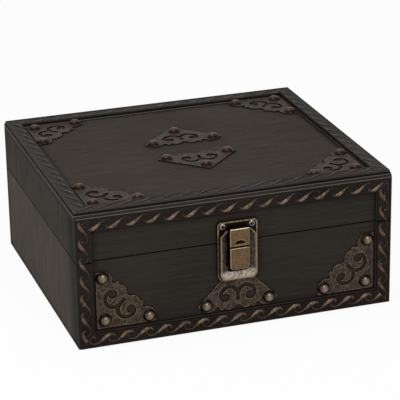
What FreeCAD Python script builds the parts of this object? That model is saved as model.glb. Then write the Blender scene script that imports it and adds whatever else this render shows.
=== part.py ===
import FreeCAD, Part
import math
import os

# Wooden treasure chest: a rabbeted case with a flat hinged lid, beaded mouldings round the front and
# the top, pierced corner plates with dome nails, and a sprung hasp latch across the parting line.
# Millimetres, +Z up, front towards -Y, origin at the centre of the underside.

# Wooden case
box_width = 260.0
box_depth = 228.0
base_height = 71.75
parting_gap = 0.5
lid_rail_height = 33.45
top_board_thickness = 4.0
front_board_thickness = 9.0
side_board_thickness = 8.0
rabbet_depth = 3.0
bottom_panel_thickness = 5.0
bottom_rebate = 4.0

# Beaded moulding
moulding_width = 13.2
moulding_thickness = 3.7
lip_radius = 0.6
bead_radius = 0.8
bead_foot = 0.75

# Pierced corner plates
plate_leg = 47.0
plate_thickness = 1.0
plate_margin = 2.0
plate_corner_radius = 1.2
centre_plate_spread = 18.4
front_centre_plate_height = 20.5
horn_width = 3.5
horn_stem_start = 1.2
horn_stem_length = 5.5
horn_entry_radius = 7.0
horn_turn_radius = 7.0
horn_curl_radius = 4.0
horn_eye_radius = 3.7

# Scalloped long edge of a plate: places along the edge from its middle, and reaches out from its chord
valley_half = 2.6
valley_reach = 2.2
valley_lift = 1.0
lobe_place = 7.2
lobe_reach = 5.8
knob_place = 13.3
knob_half = 1.5
knob_reach = 5.6
knob_inner_drop = 2.4
knob_outer_drop = 1.6
dip_drop = 1.9
nail_lobe_inner = 7.4
nail_lobe_outer = 3.9
nail_lobe_lean = 1.3
nail_lobe_reach = 5.9
shoulder_drop = 2.1
tail_drop = 2.3
tail_dip_place = 1.4
tail_dip_reach = 1.5

# Dome nails
nail_head_radius = 5.2
nail_head_height = 3.4
nail_shank = 1.6
nail_grip = 3.0
nail_from_tip = 7.2
nail_corner_inset = 6.4

# Latch plates
latch_width = 33.0
latch_sheet = 1.2
latch_drop = 32.0
strike_rise = 17.2
latch_rim_width = 1.2
latch_rim_height = 0.8
latch_corner_radius = 5.0
strike_corner_radius = 3.5
strike_screw_spread = 12.0
strike_screw_inset = 4.0
screw_head_radius = 2.5
screw_head_height = 1.2
screw_head_wall = 0.5
screw_shank_radius = 1.2
screw_grip = 7.0
screw_cross_reach = 1.5
screw_cross_width = 0.9
screw_cross_depth = 0.8

# Latch frame
frame_gap = 0.3
frame_thickness = 3.8
frame_rise = 11.0
frame_chamfer = 5.0
frame_lip = 1.0
dish_depth = 1.6
arm_width = 6.0
arm_clearance = 0.4
rivet_radius = 1.5
rivet_head_radius = 3.0
rivet_head_height = 1.4
rivet_seat = 2.0
rivet_height = 10.5

# Latch slide and its spring
slide_side_gap = 1.0
slide_back_gap = 0.2
slide_drop = 3.3
slide_height = 18.0
slide_travel = 2.0
slide_end_gap = 1.0
slide_corner_radius = 3.0
block_projection = 6.8
block_edge_radius = 0.7
face_edge_radius = 0.6
flange_reach = 1.2
flange_clearance = 0.5
flange_thickness = 1.0
flange_inset = 2.5
nose_thickness = 1.2
nose_half_width = 5.0
nose_overlap = 1.7
nose_clearance = 0.2
spring_radius = 0.8
spring_wire_half = 0.2
spring_turns = 5
spring_pocket = 8.0
spring_clearance = 0.3

# Hasp flap and the hook it locks under
flap_gap = 1.5
flap_height = 14.9
flap_knuckle_radius = 3.3
flap_back_clearance = 0.3
flap_side_wall = 1.2
flap_front_wall = 1.1
flap_ledge_height = 5.8
flap_top_radius = 1.2
nick_radius = 5.5
nick_height = 3.4
nick_depth = 0.7
nick_rise = 1.8
hasp_pin_radius = 1.0
hasp_pin_inset = 0.4
pin_clearance = 0.05
ear_thickness = 2.0
ear_gap = 0.4
ear_radius = 1.8
ear_depth = 3.9
hook_half_width = 3.0
hook_sheet = 1.3
hook_standoff = 1.4
hook_reach = 2.1
hook_lip = 1.5
hook_clearance = 0.3
hook_foot_gap = 0.9
hook_foot_drop = 0.25

# Butt hinges on the back
hinge_spacing = 150.0
hinge_width = 30.0
hinge_leaf_height = 14.0
hinge_leaf_thickness = 1.2
hinge_barrel_radius = 2.4
hinge_pin_radius = 1.2
hinge_back_gap = 0.4
hinge_knuckles = 5
hinge_knuckle_gap = 0.3
hinge_screw_spread = 9.0
hinge_screw_head_radius = 2.2
hinge_screw_radius = 1.0
hinge_screw_grip = 6.5

# Levels and reference lines that follow from the driving dimensions
V = FreeCAD.Vector
X, Y, Z = V(1, 0, 0), V(0, 1, 0), V(0, 0, 1)
half_width = box_width / 2
half_depth = box_depth / 2
lid_bottom = base_height + parting_gap
lid_rail_top = lid_bottom + lid_rail_height
lid_top = lid_rail_top + top_board_thickness
parting = base_height + parting_gap / 2
inner_half_width = half_width - side_board_thickness
inner_half_depth = half_depth - front_board_thickness
slack = 1.0
tolerance = 1e-6

FRONT = FreeCAD.Placement(V(0, -half_depth, 0), FreeCAD.Rotation(V(1, 0, 0), 90))
TOP = FreeCAD.Placement(V(0, 0, lid_top), FreeCAD.Rotation())


def span(x0, x1, y0, y1, z0, z1):
    """Box between two corners."""
    return Part.makeBox(x1 - x0, y1 - y0, z1 - z0, V(x0, y0, z0))


def rounded_wire(corners):
    """Closed outline through corners (x, y, radius), each corner rounded by an arc."""
    turns = []
    count = len(corners)
    for index, (x, y, radius) in enumerate(corners):
        point = V(x, y, 0)
        before = V(corners[index - 1][0], corners[index - 1][1], 0)
        after = V(corners[(index + 1) % count][0], corners[(index + 1) % count][1], 0)
        to_before = (before - point).normalize()
        to_after = (after - point).normalize()
        if radius == 0:
            turns.append((point, None, point))
            continue
        half_angle = to_before.getAngle(to_after) / 2
        bisector = (to_before + to_after).normalize()
        setback = radius / math.tan(half_angle)
        crown = point + bisector * (radius / math.sin(half_angle) - radius)
        turns.append((point + to_before * setback, crown, point + to_after * setback))
    edges = []
    for index, (start, crown, end) in enumerate(turns):
        if crown is not None:
            edges.append(Part.Arc(start, crown, end).toShape())
        following = turns[(index + 1) % count][0]
        if (following - end).Length > tolerance:
            edges.append(Part.makeLine(end, following))
    return Part.Wire(edges)


def prism(corners, low, high):
    """Rounded outline in the XY plane, extruded from low to high along Z."""
    face = Part.Face(rounded_wire(corners))
    face.translate(V(0, 0, low))
    return face.extrude(V(0, 0, high - low))


def side_prism(corners, x0, x1):
    """Side profile given as (outward, up, radius), extruded across from x0 to x1."""
    solid = prism(corners, -x1, -x0)
    solid.rotate(V(0, 0, 0), V(0, 1, 0), -90)
    return solid


def rod(radius, start, end):
    """Cylinder between two points."""
    axis = end - start
    return Part.makeCylinder(radius, axis.Length, start, axis)


def turned(points):
    """Solid of revolution about Z; a point of four numbers starts an arc through its last two numbers."""
    edges = []
    for index, point in enumerate(points):
        following = points[(index + 1) % len(points)]
        start = V(point[0], 0, point[1])
        end = V(following[0], 0, following[1])
        if len(point) == 4:
            edges.append(Part.Arc(start, V(point[2], 0, point[3]), end).toShape())
        else:
            edges.append(Part.makeLine(start, end))
    return Part.Face(Part.Wire(edges)).revolve(V(0, 0, 0), V(0, 0, 1), 360)


def cap_start(radius, base, rise):
    """First point of a spherical cap for a turned solid: its pole, and a point halfway down its arc."""
    sphere = (radius ** 2 + rise ** 2) / (2 * rise)
    angle = math.atan2(radius, sphere - rise) / 2
    pole = base + rise
    return (0, pole, sphere * math.sin(angle), pole - sphere * (1 - math.cos(angle)))


def placed(shape, placement):
    """Copy of a shape moved by a placement."""
    copy = shape.copy()
    copy.Placement = placement.multiply(copy.Placement)
    return copy


def mirrored_pair(shape):
    """A shape and its mirror image across the chest's middle plane."""
    return [shape, shape.mirror(V(0, 0, 0), V(1, 0, 0))]


def bored(shape, tools):
    """Shape with every tool cut out of it."""
    for tool in tools:
        shape = shape.cut(tool)
    return shape


# Wooden case: front and back boards run full width and take the sides in end rabbets


def rabbeted_board(low, high):
    """Front board, with a rabbet at each end for the side boards."""
    board = span(-half_width, half_width, -half_depth, -inner_half_depth, low, high)
    seat = -half_depth + front_board_thickness - rabbet_depth
    notch = span(inner_half_width, half_width + slack, seat, -inner_half_depth + slack,
                 low - slack, high + slack)
    return bored(board, mirrored_pair(notch))


def side_board(low, high):
    """Right-hand side board, reaching into the rabbets."""
    reach = inner_half_depth + rabbet_depth
    return span(inner_half_width, half_width, -reach, reach, low, high)


def flipped(shape, x, y):
    """Mirror image of a shape across the plane through the origin with normal (x, y, 0)."""
    return shape.mirror(V(0, 0, 0), V(x, y, 0))


bottom_half_width = inner_half_width + bottom_rebate
bottom_half_depth = inner_half_depth + bottom_rebate
bottom_panel = span(-bottom_half_width, bottom_half_width, -bottom_half_depth, bottom_half_depth,
                    0, bottom_panel_thickness)
base_front = rabbeted_board(0, base_height).cut(bottom_panel)
base_back = flipped(base_front, 0, 1)
base_right = side_board(0, base_height).cut(bottom_panel)
base_left = flipped(base_right, 1, 0)
lid_front = rabbeted_board(lid_bottom, lid_rail_top)
lid_back = flipped(lid_front, 0, 1)
lid_right = side_board(lid_bottom, lid_rail_top)
lid_left = flipped(lid_right, 1, 0)
lid_panel = span(-half_width, half_width, -half_depth, half_depth, lid_rail_top, lid_top)


# Beaded moulding: a sunk band between two round lips, each with a lower bead outside it


def moulding_profile():
    """Moulding section with its width along Y and its thickness along Z."""
    lip_edge = bead_radius + 2 * lip_radius
    ground = moulding_thickness - lip_radius
    bend = math.sqrt(0.5)

    def side(at):
        """Edges of one beaded side, from the foot to the sunk band."""
        foot = V(0, at(0), 0)
        shoulder = V(0, at(0), bead_foot)
        bead_crown = V(0, at(bead_radius * (1 - bend)), bead_foot + bead_radius * bend)
        bead_end = V(0, at(bead_radius), bead_foot + bead_radius)
        lip_start = V(0, at(bead_radius), ground)
        lip_crown = V(0, at(bead_radius + lip_radius), moulding_thickness)
        lip_end = V(0, at(lip_edge), ground)
        return [Part.makeLine(foot, shoulder), Part.Arc(shoulder, bead_crown, bead_end).toShape(),
                Part.makeLine(bead_end, lip_start), Part.Arc(lip_start, lip_crown, lip_end).toShape()]

    outer = side(lambda distance: distance)
    inner = side(lambda distance: moulding_width - distance)
    band = Part.makeLine(V(0, lip_edge, ground), V(0, moulding_width - lip_edge, ground))
    back = Part.makeLine(V(0, 0, 0), V(0, moulding_width, 0))
    return Part.Face(Part.Wire(Part.__sortEdges__(outer + [band] + inner + [back])))


def moulding(length, mitre_start, mitre_end):
    """Straight moulding along X with its outer edge on Y = 0, mitred at the chosen ends."""
    strip = moulding_profile().extrude(V(length, 0, 0))
    far = moulding_width + slack
    if mitre_start:
        strip = strip.cut(prism([(-slack, -slack, 0), (far, far, 0), (-slack, far, 0)],
                                -slack, moulding_thickness + slack))
    if mitre_end:
        end = length + slack
        strip = strip.cut(prism([(end, -slack, 0), (end, far, 0), (length - far, far, 0)],
                                -slack, moulding_thickness + slack))
    return strip


def laid(strip, start, along, inward):
    """Moulding laid from a start point, running along one direction with its width inward."""
    outward = along.cross(inward)
    rotation = FreeCAD.Rotation(along, inward, outward, "XYZ")
    return placed(strip, FreeCAD.Placement(start, rotation))


lid_side_run = lid_top - lid_bottom
front_bottom_moulding = laid(moulding(box_width, True, True), V(-half_width, -half_depth, 0), X, Z)
front_left_lower = laid(moulding(base_height, False, True), V(-half_width, -half_depth, base_height), -Z, X)
front_right_lower = laid(moulding(base_height, True, False), V(half_width, -half_depth, 0), Z, -X)
front_left_upper = laid(moulding(lid_side_run, True, False), V(-half_width, -half_depth, lid_top), -Z, X)
front_right_upper = laid(moulding(lid_side_run, False, True), V(half_width, -half_depth, lid_bottom), Z, -X)
front_top_moulding = laid(moulding(box_width, True, True), V(half_width, -half_depth, lid_top), -X, -Z)
top_front_moulding = laid(moulding(box_width, True, True), V(-half_width, -half_depth, lid_top), X, Y)
top_back_moulding = laid(moulding(box_width, True, True), V(half_width, half_depth, lid_top), -X, -Y)
top_right_moulding = laid(moulding(box_depth, True, True), V(half_width, -half_depth, lid_top), Y, -X)
top_left_moulding = laid(moulding(box_depth, True, True), V(-half_width, half_depth, lid_top), -Y, X)


# Pierced plate: square corner at the origin, diagonal along +Y, scalloped long edge, twin scrolls

plate_diagonal = plate_leg / math.sqrt(2)
nail_u = plate_diagonal - nail_from_tip


def scalloped_edge():
    """Arcs of the long edge from its middle to the right-hand tip, as (start, crown, end)."""
    nail_lobe_end = nail_u + nail_lobe_outer
    valley_end = (valley_half, valley_reach + valley_lift)
    lobe_crown = (lobe_place, lobe_reach)
    knob_start = (knob_place - knob_half, knob_reach - knob_inner_drop)
    knob_crown = (knob_place, knob_reach)
    knob_end = (knob_place + knob_half, knob_reach - knob_outer_drop)
    shoulder = (nail_u - nail_lobe_inner, nail_lobe_reach - shoulder_drop)
    dip = ((knob_end[0] + shoulder[0]) / 2, knob_end[1] - dip_drop)
    nail_crown = (nail_u - nail_lobe_lean, nail_lobe_reach)
    tail_start = (nail_lobe_end, nail_lobe_reach - tail_drop)
    tail_dip = (nail_lobe_end + tail_dip_place, tail_dip_reach)
    tip = (plate_diagonal, 0.0)
    return [(valley_end, lobe_crown, knob_start), (knob_start, knob_crown, knob_end),
            (knob_end, dip, shoulder), (shoulder, nail_crown, tail_start), (tail_start, tail_dip, tip)]


def plate_outline():
    """Closed outline of the plate."""

    def at(point, sign):
        """Point of the long edge, on the right for sign 1 and on the left for sign -1."""
        return V(sign * point[0], plate_diagonal + point[1], 0)

    arcs = scalloped_edge()
    valley = arcs[0][0]
    edges = [Part.Arc(at(valley, -1), at((0, valley_reach), 1), at(valley, 1)).toShape()]
    for sign in (1, -1):
        for start, crown, end in arcs:
            edges.append(Part.Arc(at(start, sign), at(crown, sign), at(end, sign)).toShape())
    setback = plate_corner_radius * math.sqrt(0.5)
    crown = V(0, plate_corner_radius * (math.sqrt(2) - 1), 0)
    right = V(setback, setback, 0)
    left = V(-setback, setback, 0)
    edges.append(Part.Arc(left, crown, right).toShape())
    edges.append(Part.makeLine(right, at(arcs[-1][2], 1)))
    edges.append(Part.makeLine(left, at(arcs[-1][2], -1)))
    return Part.Wire(Part.__sortEdges__(edges))


def arc_stroke(centre, radius, first, last):
    """Band of the scroll's width along an arc, from one angle to another in degrees."""
    inner = radius - horn_width / 2
    outer = radius + horn_width / 2

    def at(reach, angle):
        """Point at a reach and an angle from the arc's centre."""
        return centre + V(math.cos(math.radians(angle)), math.sin(math.radians(angle)), 0) * reach

    middle = (first + last) / 2
    edges = [Part.Arc(at(outer, first), at(outer, middle), at(outer, last)).toShape(),
             Part.makeLine(at(outer, last), at(inner, last)),
             Part.Arc(at(inner, last), at(inner, middle), at(inner, first)).toShape(),
             Part.makeLine(at(inner, first), at(outer, first))]
    return Part.Face(Part.Wire(edges))


def scroll_cutters():
    """Right-hand scroll and the shared stem, as faces to pierce the plate with."""
    stem_end = plate_diagonal - horn_stem_start - horn_stem_length
    entry = V(horn_entry_radius, stem_end, 0)
    turn = V(horn_entry_radius, stem_end - horn_entry_radius + horn_turn_radius, 0)
    curl = turn + V(horn_turn_radius - horn_curl_radius, 0, 0)
    eye = curl + V(0, horn_curl_radius + horn_width / 2 - horn_eye_radius, 0)
    stem_top = stem_end + horn_stem_length
    stem = rounded_wire([(-horn_width / 2, stem_end - slack, 0), (horn_width / 2, stem_end - slack, 0),
                         (horn_width / 2, stem_top, 0), (-horn_width / 2, stem_top, 0)])
    disc = Part.Face(Part.Wire(Part.makeCircle(horn_eye_radius, eye)))
    return [Part.Face(stem), arc_stroke(entry, horn_entry_radius, 180, 270),
            arc_stroke(turn, horn_turn_radius, 270, 360), arc_stroke(curl, horn_curl_radius, 0, 90), disc]


def plate_nail_spots():
    """Nail places on a plate: right tip, left tip, square corner."""
    corner = nail_corner_inset * math.sqrt(2)
    return [V(nail_u, plate_diagonal, 0), V(-nail_u, plate_diagonal, 0), V(0, corner, 0)]


def nail_shank_at(spot):
    """Square nail shank through a plate at a spot, its foot in the board and its top in the head."""
    half = nail_shank / 2
    top = plate_thickness + slack
    return span(spot.x - half, spot.x + half, spot.y - half, spot.y + half, -nail_grip, top)


def pierced_plate():
    """Plate with its twin scrolls and nail holes."""
    plate = Part.Face(plate_outline()).extrude(V(0, 0, plate_thickness))
    for face in scroll_cutters():
        face.translate(V(0, 0, -slack))
        cutter = face.extrude(V(0, 0, plate_thickness + 2 * slack))
        plate = bored(plate, mirrored_pair(cutter))
    return bored(plate, [nail_shank_at(spot) for spot in plate_nail_spots()])


def on_face(x, y, angle, face):
    """Placement of a plate's square corner on the front or the top, turned about the face's normal."""
    return face.multiply(FreeCAD.Placement(V(x, y, 0), FreeCAD.Rotation(Z, angle)))


plate_x = half_width - moulding_width - plate_margin
plate_y = half_depth - moulding_width - plate_margin
plate_z = moulding_width + plate_margin
centre_plate_y = centre_plate_spread + plate_diagonal
front_plate_places = {
    "front_left_corner_plate": on_face(-plate_x, plate_z, -45, FRONT),
    "front_right_corner_plate": on_face(plate_x, plate_z, 45, FRONT),
    "front_centre_plate": on_face(0, front_centre_plate_height + plate_diagonal, 180, FRONT),
}
lid_plate_places = {
    "lid_front_left_corner_plate": on_face(-plate_x, -plate_y, -45, TOP),
    "lid_front_right_corner_plate": on_face(plate_x, -plate_y, 45, TOP),
    "lid_back_left_corner_plate": on_face(-plate_x, plate_y, -135, TOP),
    "lid_back_right_corner_plate": on_face(plate_x, plate_y, 135, TOP),
    "lid_centre_front_plate": on_face(0, -centre_plate_y, 0, TOP),
    "lid_centre_back_plate": on_face(0, centre_plate_y, 180, TOP),
}


def dome_nail():
    """Nail with a domed head that stands on the plate and a square shank through it into the board."""
    seat = plate_thickness
    head = turned([cap_start(nail_head_radius, seat, nail_head_height), (nail_head_radius, seat), (0, seat)])
    return head.fuse(nail_shank_at(V(0, 0, 0))).removeSplitter()


def nails_for(places, skipped):
    """Nails of a set of plates, leaving out the square corner of the skipped plate."""
    nails = []
    for name, place in places.items():
        spots = plate_nail_spots()[:2] if name == skipped else plate_nail_spots()
        for spot in spots:
            at_spot = place.multiply(FreeCAD.Placement(spot, FreeCAD.Rotation()))
            nails.append(placed(dome_nail(), at_spot))
    return nails


front_nails = nails_for(front_plate_places, "front_centre_plate")
lid_nails = nails_for(lid_plate_places, None)
base_front = bored(base_front, front_nails)
lid_panel = bored(lid_panel, lid_nails)


# Latch levels, measured on the front face: x across, y up, z outward

half_latch = latch_width / 2
latch_bottom = parting - latch_drop
strike_top = lid_bottom + strike_rise
frame_half = half_latch - latch_rim_width - frame_gap
frame_bottom = latch_bottom + latch_rim_width + frame_gap
frame_top = parting + frame_rise
frame_front = latch_sheet + frame_thickness
channel_half = frame_half - arm_width
block_half = channel_half - slide_side_gap
block_front = latch_sheet + block_projection
slide_top = parting - slide_drop
slide_bottom = slide_top - slide_height
channel_floor = slide_bottom - slide_travel - slide_end_gap
flap_bottom = slide_top + flap_gap
flap_top = flap_bottom + flap_height
pin_height = flap_top - flap_knuckle_radius
pin_out = latch_sheet + flap_back_clearance + flap_knuckle_radius
ledge = flap_bottom + flap_ledge_height
pocket_half = block_half - flap_side_wall
pocket_front = block_front - flap_front_wall
ear_outer = pocket_half - ear_gap
hook_back = latch_sheet + hook_standoff
hook_front = hook_back + hook_sheet
flap_back = hook_front + arm_clearance
nose_front = pocket_front - nose_clearance
nose_back = nose_front - nose_thickness


def rimmed_plate(corners, inner_corners):
    """Sheet plate with a raised rim between two outlines."""
    rim_top = latch_sheet + latch_rim_height
    rim = prism(corners, 0, rim_top).cut(prism(inner_corners, -slack, rim_top + slack))
    return prism(corners, 0, latch_sheet).fuse(rim).removeSplitter()


def latch_rivet():
    """Rivet from inside the box, through the board and the plate into the frame."""
    inside = -front_board_thickness
    return turned([(0, inside - rivet_head_height), (rivet_head_radius, inside - rivet_head_height),
                   (rivet_head_radius, inside), (rivet_radius, inside),
                   (rivet_radius, latch_sheet + rivet_seat), (0, latch_sheet + rivet_seat)])


def strike_screw():
    """Cross-head screw of the strike plate."""
    head_top = latch_sheet + screw_head_height
    wall_top = latch_sheet + screw_head_wall
    screw = turned([cap_start(screw_head_radius, wall_top, head_top - wall_top),
                    (screw_head_radius, wall_top), (screw_head_radius, latch_sheet),
                    (screw_shank_radius, latch_sheet),
                    (screw_shank_radius, -screw_grip), (0, -screw_grip - screw_shank_radius)])
    arm = screw_cross_reach
    half = screw_cross_width / 2
    low = head_top - screw_cross_depth
    return bored(screw, [span(-arm, arm, -half, half, low, head_top + slack),
                         span(-half, half, -arm, arm, low, head_top + slack)])


def latch_frame():
    """Raised frame: a bar and two arms round the slide, dished to the channel, arms clear of the lid."""
    shoulder = frame_top - frame_chamfer
    outline = [(-frame_half, frame_bottom, latch_corner_radius),
               (frame_half, frame_bottom, latch_corner_radius),
               (frame_half, shoulder, 0), (frame_half - frame_chamfer, frame_top, 0),
               (channel_half, frame_top, 0), (channel_half, channel_floor, slide_corner_radius),
               (-channel_half, channel_floor, slide_corner_radius), (-channel_half, frame_top, 0),
               (frame_chamfer - frame_half, frame_top, 0), (-frame_half, shoulder, 0)]
    frame = prism(outline, latch_sheet, frame_front)
    lip_half = frame_half - frame_lip
    lip_floor = frame_bottom + frame_lip
    bevel = frame_lip * (math.sqrt(2) - 1)
    dish_side = shoulder - bevel
    dish_top = dish_side + lip_half - channel_half
    upper = rounded_wire([(-lip_half, lip_floor, latch_corner_radius - frame_lip),
                          (lip_half, lip_floor, latch_corner_radius - frame_lip), (lip_half, dish_side, 0),
                          (channel_half, dish_top, 0), (-channel_half, dish_top, 0),
                          (-lip_half, dish_side, 0)])
    lower = rounded_wire([(-channel_half, channel_floor, slide_corner_radius),
                          (channel_half, channel_floor, slide_corner_radius), (channel_half, dish_side, 0),
                          (channel_half, dish_top, 0), (-channel_half, dish_top, 0),
                          (-channel_half, dish_side, 0)])
    upper.translate(V(0, 0, frame_front))
    lower.translate(V(0, 0, frame_front - dish_depth))
    dish = Part.makeLoft([lower, upper], True, True)
    over_lid = span(-half_latch, half_latch, parting - arm_clearance, frame_top + slack,
                    0, latch_sheet + latch_rim_height + arm_clearance)
    groove_half = channel_half + flange_reach + flange_clearance
    groove = span(-groove_half, groove_half, channel_floor, slide_top,
                  0, latch_sheet + slide_back_gap + flange_thickness + slide_back_gap)
    return bored(frame, [dish, over_lid, groove])


def latch_slide():
    """Sprung slide: thumb block, side flanges under the arms, and a nose that holds the flap shut."""
    back = latch_sheet + slide_back_gap
    block = prism([(-block_half, slide_bottom, slide_corner_radius),
                   (block_half, slide_bottom, slide_corner_radius),
                   (block_half, slide_top, block_edge_radius), (-block_half, slide_top, block_edge_radius)],
                  back, block_front)
    rim = [edge for edge in block.Edges if edge.BoundBox.ZMin > block_front - tolerance]
    block = block.makeFillet(face_edge_radius, rim)
    flange_half = channel_half + flange_reach
    flange = span(-flange_half, flange_half, slide_bottom + flange_inset, slide_top - flange_inset,
                  back, back + flange_thickness)
    nose = span(-nose_half_width, nose_half_width, slide_top - slack, flap_bottom + nose_overlap,
                nose_back, nose_front)
    reach = spring_radius + spring_wire_half + spring_clearance
    pocket = span(-reach, reach, slide_bottom - slack, slide_bottom + spring_pocket,
                  0, back + 2 * reach)
    return block.fuse([flange, nose]).removeSplitter().cut(pocket)


def latch_spring():
    """Coil spring of square wire between the frame's bar and the slide's pocket."""
    length = slide_bottom + spring_pocket - channel_floor - 2 * spring_wire_half
    path = Part.makeHelix(length / spring_turns, length, spring_radius)
    inside = spring_radius - spring_wire_half
    outside = spring_radius + spring_wire_half
    section = Part.makePolygon([V(inside, 0, -spring_wire_half), V(outside, 0, -spring_wire_half),
                                V(outside, 0, spring_wire_half), V(inside, 0, spring_wire_half),
                                V(inside, 0, -spring_wire_half)])
    coil = Part.Wire(path).makePipeShell([section], True, True)
    coil.rotate(V(0, 0, 0), X, -90)
    out = latch_sheet + slide_back_gap + spring_clearance + outside
    coil.translate(V(0, channel_floor + spring_wire_half, out))
    return coil


def latch_hook():
    """Fixed hook that rises behind the flap, its lip over the flap's inner ledge."""
    foot_low = slide_top + hook_foot_gap
    foot_high = base_height - hook_foot_drop
    lip_low = ledge + hook_clearance
    lip_high = lip_low + hook_lip
    tip = hook_front + hook_reach
    return side_prism([(latch_sheet, foot_low, 0), (hook_front, foot_low, 0), (hook_front, lip_low, 0),
                       (tip, lip_low, 0), (tip, lip_high, 0), (hook_back, lip_high, 0),
                       (hook_back, foot_high, 0), (latch_sheet, foot_high, 0)],
                      -hook_half_width, hook_half_width)


def strike_ear():
    """Right-hand ear of the strike plate, rounded about the hasp pin."""
    web_top = pin_height - flap_back_clearance
    ear_inner = ear_outer - ear_thickness
    web = side_prism([(0, pin_height - ear_depth, 0), (pin_out, pin_height - ear_depth, 0),
                      (pin_out, web_top, 0), (0, web_top, 0)], ear_inner, ear_outer)
    eye = rod(ear_radius, V(ear_inner, pin_height, pin_out), V(ear_outer, pin_height, pin_out))
    return web.fuse(eye).removeSplitter()


def hasp_pin():
    """Pin through the flap's sides and the ears."""
    reach = block_half - hasp_pin_inset
    return rod(hasp_pin_radius, V(-reach, pin_height, pin_out), V(reach, pin_height, pin_out))


def hasp_flap():
    """Hollow flap: round knuckle at the top, ledge and nose slot below, thumb nick in its face."""
    back = latch_sheet + flap_back_clearance
    flap = side_prism([(flap_back, flap_bottom, 0), (block_front, flap_bottom, block_edge_radius),
                       (block_front, flap_top, flap_top_radius), (back, flap_top, flap_knuckle_radius),
                       (back, ledge, 0), (flap_back, ledge, 0)], -block_half, block_half)
    face_level = block_front - flap_top_radius - tolerance
    face_edges = [edge for edge in flap.Edges
                  if edge.BoundBox.XLength < tolerance and edge.BoundBox.ZMin > face_level]
    flap = flap.makeFillet(face_edge_radius, face_edges)
    pocket = span(-pocket_half, pocket_half, ledge, flap_top - flap_front_wall, 0, pocket_front)
    behind_pin = span(-pocket_half, pocket_half, ledge, flap_top + slack, 0, pin_out)
    slot_half = nose_half_width + 2 * nose_clearance
    slot = span(-slot_half, slot_half, flap_bottom - slack, flap_bottom + nose_overlap + 2 * nose_clearance,
                nose_back - nose_clearance, pocket_front)
    bore = rod(hasp_pin_radius + pin_clearance, V(-block_half - slack, pin_height, pin_out),
               V(block_half + slack, pin_height, pin_out))
    nick_base = flap_bottom + nick_rise
    nick_centre = nick_base + nick_height - nick_radius
    disc = rod(nick_radius, V(0, nick_centre, block_front - nick_depth),
               V(0, nick_centre, block_front + slack))
    above_base = span(-nick_radius, nick_radius, nick_base, nick_base + nick_height + slack,
                      0, block_front + 2 * slack)
    return bored(flap, [pocket, behind_pin, slot, bore, disc.common(above_base)])


field_half = half_latch - latch_rim_width
base_plate_corners = [(-half_latch, latch_bottom, latch_corner_radius),
                      (half_latch, latch_bottom, latch_corner_radius),
                      (half_latch, base_height, 0), (-half_latch, base_height, 0)]
base_field_corners = [(-field_half, latch_bottom + latch_rim_width, latch_corner_radius - latch_rim_width),
                      (field_half, latch_bottom + latch_rim_width, latch_corner_radius - latch_rim_width),
                      (field_half, base_height + slack, 0), (-field_half, base_height + slack, 0)]
strike_corners = [(-half_latch, lid_bottom, 0), (half_latch, lid_bottom, 0),
                  (half_latch, strike_top, strike_corner_radius),
                  (-half_latch, strike_top, strike_corner_radius)]
strike_field_top = strike_top - latch_rim_width
strike_field_corners = [(-field_half, lid_bottom - slack, 0), (field_half, lid_bottom - slack, 0),
                        (field_half, strike_field_top, strike_corner_radius - latch_rim_width),
                        (-field_half, strike_field_top, strike_corner_radius - latch_rim_width)]

rivet_x = channel_half + arm_width / 2
rivet = latch_rivet()
rivet.translate(V(rivet_x, latch_bottom + rivet_height, 0))
rivets = mirrored_pair(rivet)
screw = strike_screw()
screw.translate(V(strike_screw_spread, strike_top - strike_screw_inset, 0))
screws = mirrored_pair(screw)
pin = hasp_pin()
strike_plate = rimmed_plate(strike_corners, strike_field_corners)
strike_plate = strike_plate.fuse(mirrored_pair(strike_ear())).removeSplitter()
latch_nodes = {
    "latch_base_plate": bored(rimmed_plate(base_plate_corners, base_field_corners), rivets),
    "latch_frame": bored(latch_frame(), rivets),
    "latch_rivets": Part.makeCompound(rivets),
    "latch_slide": latch_slide(),
    "latch_spring": latch_spring(),
    "latch_hook": latch_hook(),
    "strike_plate": bored(strike_plate, screws + [pin]),
    "strike_screws": Part.makeCompound(screws),
    "hasp_pin": pin,
    "hasp_flap": hasp_flap(),
}
latch_nodes = {name: placed(shape, FRONT) for name, shape in latch_nodes.items()}
base_front = bored(base_front, latch_nodes["latch_rivets"].Solids)
lid_front = bored(lid_front, latch_nodes["strike_screws"].Solids)


# Butt hinges on the back: knuckles of the two leaves alternate on a pin along the parting line

hinge_axis = half_depth + hinge_back_gap + hinge_barrel_radius
leaf_start = hinge_barrel_radius + hinge_knuckle_gap


def hinge_leaf(x, upward):
    """One leaf of a hinge at x; the lower leaf has the outer knuckles, the upper one those between."""
    left = x - hinge_width / 2
    pitch = (hinge_width + hinge_knuckle_gap) / hinge_knuckles
    back = half_depth + hinge_leaf_thickness
    side = 1 if upward else -1
    plate_levels = sorted((parting + side * leaf_start, parting + side * (leaf_start + hinge_leaf_height)))
    leaf = span(left, left + hinge_width, half_depth, back, *plate_levels)
    web_levels = sorted((parting, parting + side * leaf_start))
    bore = hinge_pin_radius + (pin_clearance if upward else 0)
    for index in range(1 if upward else 0, hinge_knuckles, 2):
        start = left + index * pitch
        end = start + pitch - hinge_knuckle_gap
        web = span(start, end, half_depth, back, *web_levels)
        knuckle = rod(hinge_barrel_radius, V(start, hinge_axis, parting), V(end, hinge_axis, parting))
        leaf = leaf.fuse([web, knuckle])
    drill = rod(bore, V(left - slack, hinge_axis, parting),
                V(left + hinge_width + slack, hinge_axis, parting))
    return leaf.removeSplitter().cut(drill)


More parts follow.
